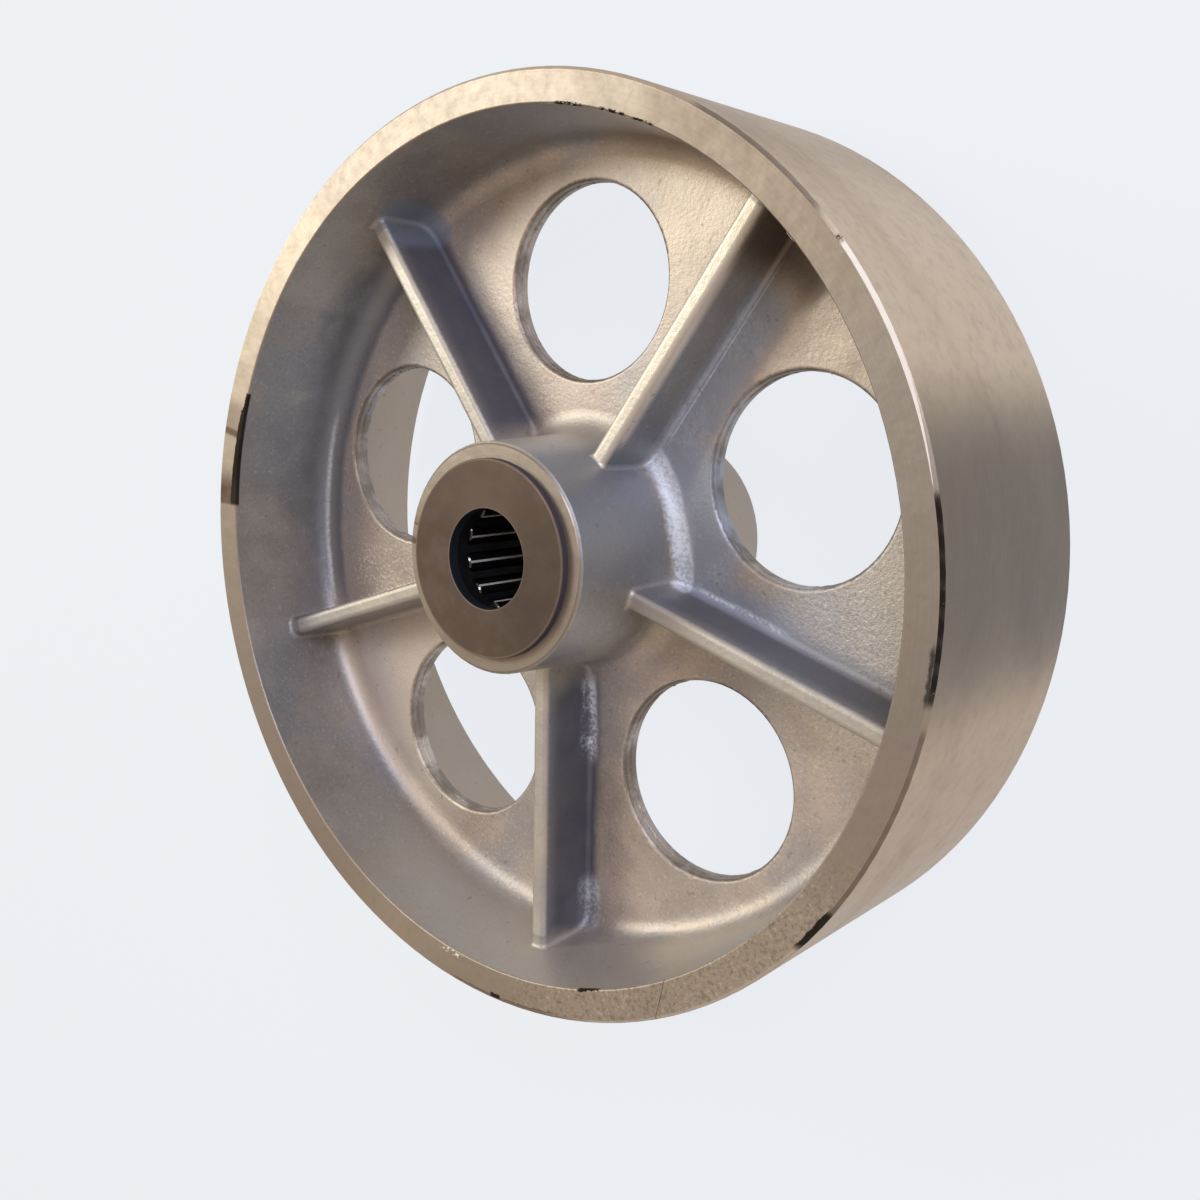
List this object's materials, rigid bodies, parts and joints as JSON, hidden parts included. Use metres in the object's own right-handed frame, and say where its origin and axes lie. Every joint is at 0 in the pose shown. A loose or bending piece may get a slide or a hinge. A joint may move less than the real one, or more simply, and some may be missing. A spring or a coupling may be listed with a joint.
{
  "type": "caster wheel",
  "caption": "Cast iron wheel with a flat tread, a thin web with round holes between straight ribs, and a caged roller bearing in its hub.",
  "frame": {"origin": "centre of the wheel, on the axle line half way between the two hub ends", "axes": "+Z along the axle out of one face of the wheel, +X along one rib of the web"},
  "size_m": [0.254, 0.254, 0.0888],
  "materials": {
    "cast_iron": "silvery sand casting with a machined tread and rim faces, lightly stained",
    "washer_steel": "satin browned steel",
    "cage_steel": "black oxide",
    "roller_steel": "ground steel, oiled"
  },
  "bodies": {
    "wheel": {"wheel_casting": "cast_iron", "front_end_washer": "washer_steel", "back_end_washer": "washer_steel"},
    "cage": {"roller_cage": "cage_steel"},
    "roller_01": {"roller_01": "roller_steel"},
    "roller_02": {"roller_02": "roller_steel"},
    "roller_03": {"roller_03": "roller_steel"},
    "roller_04": {"roller_04": "roller_steel"},
    "roller_05": {"roller_05": "roller_steel"},
    "roller_06": {"roller_06": "roller_steel"},
    "roller_07": {"roller_07": "roller_steel"},
    "roller_08": {"roller_08": "roller_steel"},
    "roller_09": {"roller_09": "roller_steel"},
    "roller_10": {"roller_10": "roller_steel"},
    "roller_11": {"roller_11": "roller_steel"},
    "roller_12": {"roller_12": "roller_steel"}
  },
  "joints": [
    {"name": "cage_spin", "type": "hinge", "parent": "wheel", "child": "cage", "pos_m": [0, 0, 0], "axis": [0, 0, 1], "continuous": true},
    {"name": "roller_01_spin", "type": "hinge", "parent": "cage", "child": "roller_01", "pos_m": [0, 0.01674, 0], "axis": [0, 0, 1], "continuous": true},
    {"name": "roller_02_spin", "type": "hinge", "parent": "cage", "child": "roller_02", "pos_m": [-0.00837, 0.0145, 0], "axis": [0, 0, 1], "continuous": true},
    {"name": "roller_03_spin", "type": "hinge", "parent": "cage", "child": "roller_03", "pos_m": [-0.0145, 0.00837, 0], "axis": [0, 0, 1], "continuous": true},
    {"name": "roller_04_spin", "type": "hinge", "parent": "cage", "child": "roller_04", "pos_m": [-0.01674, 0, 0], "axis": [0, 0, 1], "continuous": true},
    {"name": "roller_05_spin", "type": "hinge", "parent": "cage", "child": "roller_05", "pos_m": [-0.0145, -0.00837, 0], "axis": [0, 0, 1], "continuous": true},
    {"name": "roller_06_spin", "type": "hinge", "parent": "cage", "child": "roller_06", "pos_m": [-0.00837, -0.0145, 0], "axis": [0, 0, 1], "continuous": true},
    {"name": "roller_07_spin", "type": "hinge", "parent": "cage", "child": "roller_07", "pos_m": [0, -0.01674, 0], "axis": [0, 0, 1], "continuous": true},
    {"name": "roller_08_spin", "type": "hinge", "parent": "cage", "child": "roller_08", "pos_m": [0.00837, -0.0145, 0], "axis": [0, 0, 1], "continuous": true},
    {"name": "roller_09_spin", "type": "hinge", "parent": "cage", "child": "roller_09", "pos_m": [0.0145, -0.00837, 0], "axis": [0, 0, 1], "continuous": true},
    {"name": "roller_10_spin", "type": "hinge", "parent": "cage", "child": "roller_10", "pos_m": [0.01674, 0, 0], "axis": [0, 0, 1], "continuous": true},
    {"name": "roller_11_spin", "type": "hinge", "parent": "cage", "child": "roller_11", "pos_m": [0.0145, 0.00837, 0], "axis": [0, 0, 1], "continuous": true},
    {"name": "roller_12_spin", "type": "hinge", "parent": "cage", "child": "roller_12", "pos_m": [0.00837, 0.0145, 0], "axis": [0, 0, 1], "continuous": true}
  ],
  "couplings": [
    {"joint": "roller_01_spin", "follows": "cage_spin", "ratio": -6.2898},
    {"joint": "roller_02_spin", "follows": "cage_spin", "ratio": -6.2898},
    {"joint": "roller_03_spin", "follows": "cage_spin", "ratio": -6.2898},
    {"joint": "roller_04_spin", "follows": "cage_spin", "ratio": -6.2898},
    {"joint": "roller_05_spin", "follows": "cage_spin", "ratio": -6.2898},
    {"joint": "roller_06_spin", "follows": "cage_spin", "ratio": -6.2898},
    {"joint": "roller_07_spin", "follows": "cage_spin", "ratio": -6.2898},
    {"joint": "roller_08_spin", "follows": "cage_spin", "ratio": -6.2898},
    {"joint": "roller_09_spin", "follows": "cage_spin", "ratio": -6.2898},
    {"joint": "roller_10_spin", "follows": "cage_spin", "ratio": -6.2898},
    {"joint": "roller_11_spin", "follows": "cage_spin", "ratio": -6.2898},
    {"joint": "roller_12_spin", "follows": "cage_spin", "ratio": -6.2898}
  ]
}
